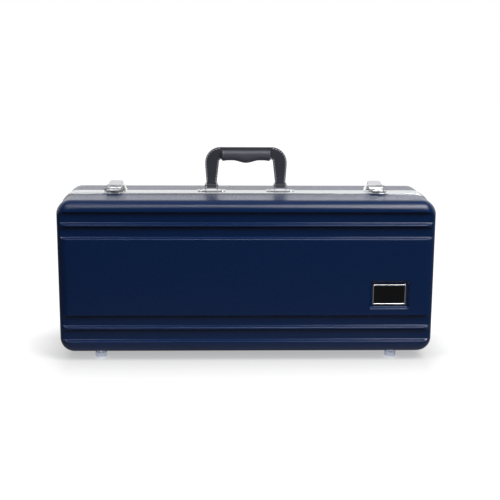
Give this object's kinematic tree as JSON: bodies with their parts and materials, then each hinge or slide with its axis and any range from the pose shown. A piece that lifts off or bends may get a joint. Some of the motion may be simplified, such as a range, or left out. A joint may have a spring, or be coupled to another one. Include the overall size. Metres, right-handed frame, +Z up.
{
  "type": "alto saxophone case",
  "caption": "Hard moulded instrument case with an aluminium rim, hinged lid, draw latches, carrying handle, feet and a fitted plush-lined foam interior.",
  "frame": {"origin": "on the floor under the middle of the case, between its four feet", "axes": "+X along the case to the badge's end, +Y from the lid to the base, +Z up to the handle"},
  "size_m": [0.653, 0.2, 0.3638],
  "materials": {
    "shell_navy": "glossy moulded, fine embossed grain",
    "valance_aluminium": "satin anodised",
    "foam": "open-cell foam",
    "plush": "short pile plush",
    "hardware_chrome": "polished chrome plate",
    "hinge_steel": "nickel plated",
    "rivet_steel": "nickel plated",
    "badge_black": "gloss black",
    "handle_leather": "fine grained, stitched",
    "handle_steel": "plain"
  },
  "bodies": {
    "base": {"base_shell": "shell_navy", "base_valance": "valance_aluminium", "base_foam": "foam", "base_plush": "plush", "base_feet": "hardware_chrome", "base_foot_screws": "rivet_steel", "handle_bracket_left": "hardware_chrome", "handle_bracket_right": "hardware_chrome", "handle_bracket_rivets": "rivet_steel", "handle_pin_left": "hardware_chrome", "handle_pin_right": "hardware_chrome", "latch_base_left": "hardware_chrome", "latch_base_right": "hardware_chrome", "latch_base_rivets": "rivet_steel", "lever_pivots_left": "hardware_chrome", "lever_pivots_right": "hardware_chrome", "hinge_base_leaf_1": "hinge_steel", "hinge_base_leaf_2": "hinge_steel", "hinge_base_leaf_3": "hinge_steel", "hinge_pin_1": "hinge_steel", "hinge_pin_2": "hinge_steel", "hinge_pin_3": "hinge_steel", "hinge_base_rivets": "rivet_steel"},
    "lid": {"lid_shell": "shell_navy", "lid_valance": "valance_aluminium", "lid_foam": "foam", "lid_plush": "plush", "lid_feet": "hardware_chrome", "lid_foot_screws": "rivet_steel", "badge_frame": "hardware_chrome", "badge_plate": "badge_black", "latch_strike_left": "hardware_chrome", "latch_strike_right": "hardware_chrome", "latch_strike_rivets": "rivet_steel", "hinge_lid_leaf_1": "hinge_steel", "hinge_lid_leaf_2": "hinge_steel", "hinge_lid_leaf_3": "hinge_steel", "hinge_lid_rivets": "rivet_steel"},
    "lever_left": {"lever_left": "hardware_chrome", "claw_pin_left": "hardware_chrome"},
    "lever_right": {"lever_right": "hardware_chrome", "claw_pin_right": "hardware_chrome"},
    "claw_left": {"claw_left": "hardware_chrome"},
    "claw_right": {"claw_right": "hardware_chrome"},
    "handle": {"handle_leather_front": "handle_leather", "handle_leather_back": "handle_leather", "handle_grip": "handle_leather", "handle_core": "handle_steel", "handle_bushes": "handle_steel"}
  },
  "joints": [
    {"name": "lid_hinge", "type": "hinge", "parent": "base", "child": "lid", "pos_m": [0, 0, 0.0112], "axis": [1, 0, 0], "range_deg": [0, 105]},
    {"name": "lever_left_pivot", "type": "hinge", "parent": "base", "child": "lever_left", "pos_m": [-0.233, 0.0035, 0.2909], "axis": [1, 0, 0], "range_deg": [0, 95]},
    {"name": "claw_left_pivot", "type": "hinge", "parent": "lever_left", "child": "claw_left", "pos_m": [-0.233, 0.0115, 0.2901], "axis": [1, 0, 0], "range_deg": [-96, 0]},
    {"name": "lever_right_pivot", "type": "hinge", "parent": "base", "child": "lever_right", "pos_m": [0.233, 0.0035, 0.2909], "axis": [1, 0, 0], "range_deg": [0, 95]},
    {"name": "claw_right_pivot", "type": "hinge", "parent": "lever_right", "child": "claw_right", "pos_m": [0.233, 0.0115, 0.2901], "axis": [1, 0, 0], "range_deg": [-96, 0]},
    {"name": "handle_swing", "type": "hinge", "parent": "base", "child": "handle", "pos_m": [0, 0.009, 0.2952], "axis": [1, 0, 0], "range_deg": [-85, 85]}
  ],
  "couplings": [
    {"joint": "claw_left_pivot", "follows": "lever_left_pivot", "ratio": -1},
    {"joint": "claw_right_pivot", "follows": "lever_right_pivot", "ratio": -1}
  ]
}
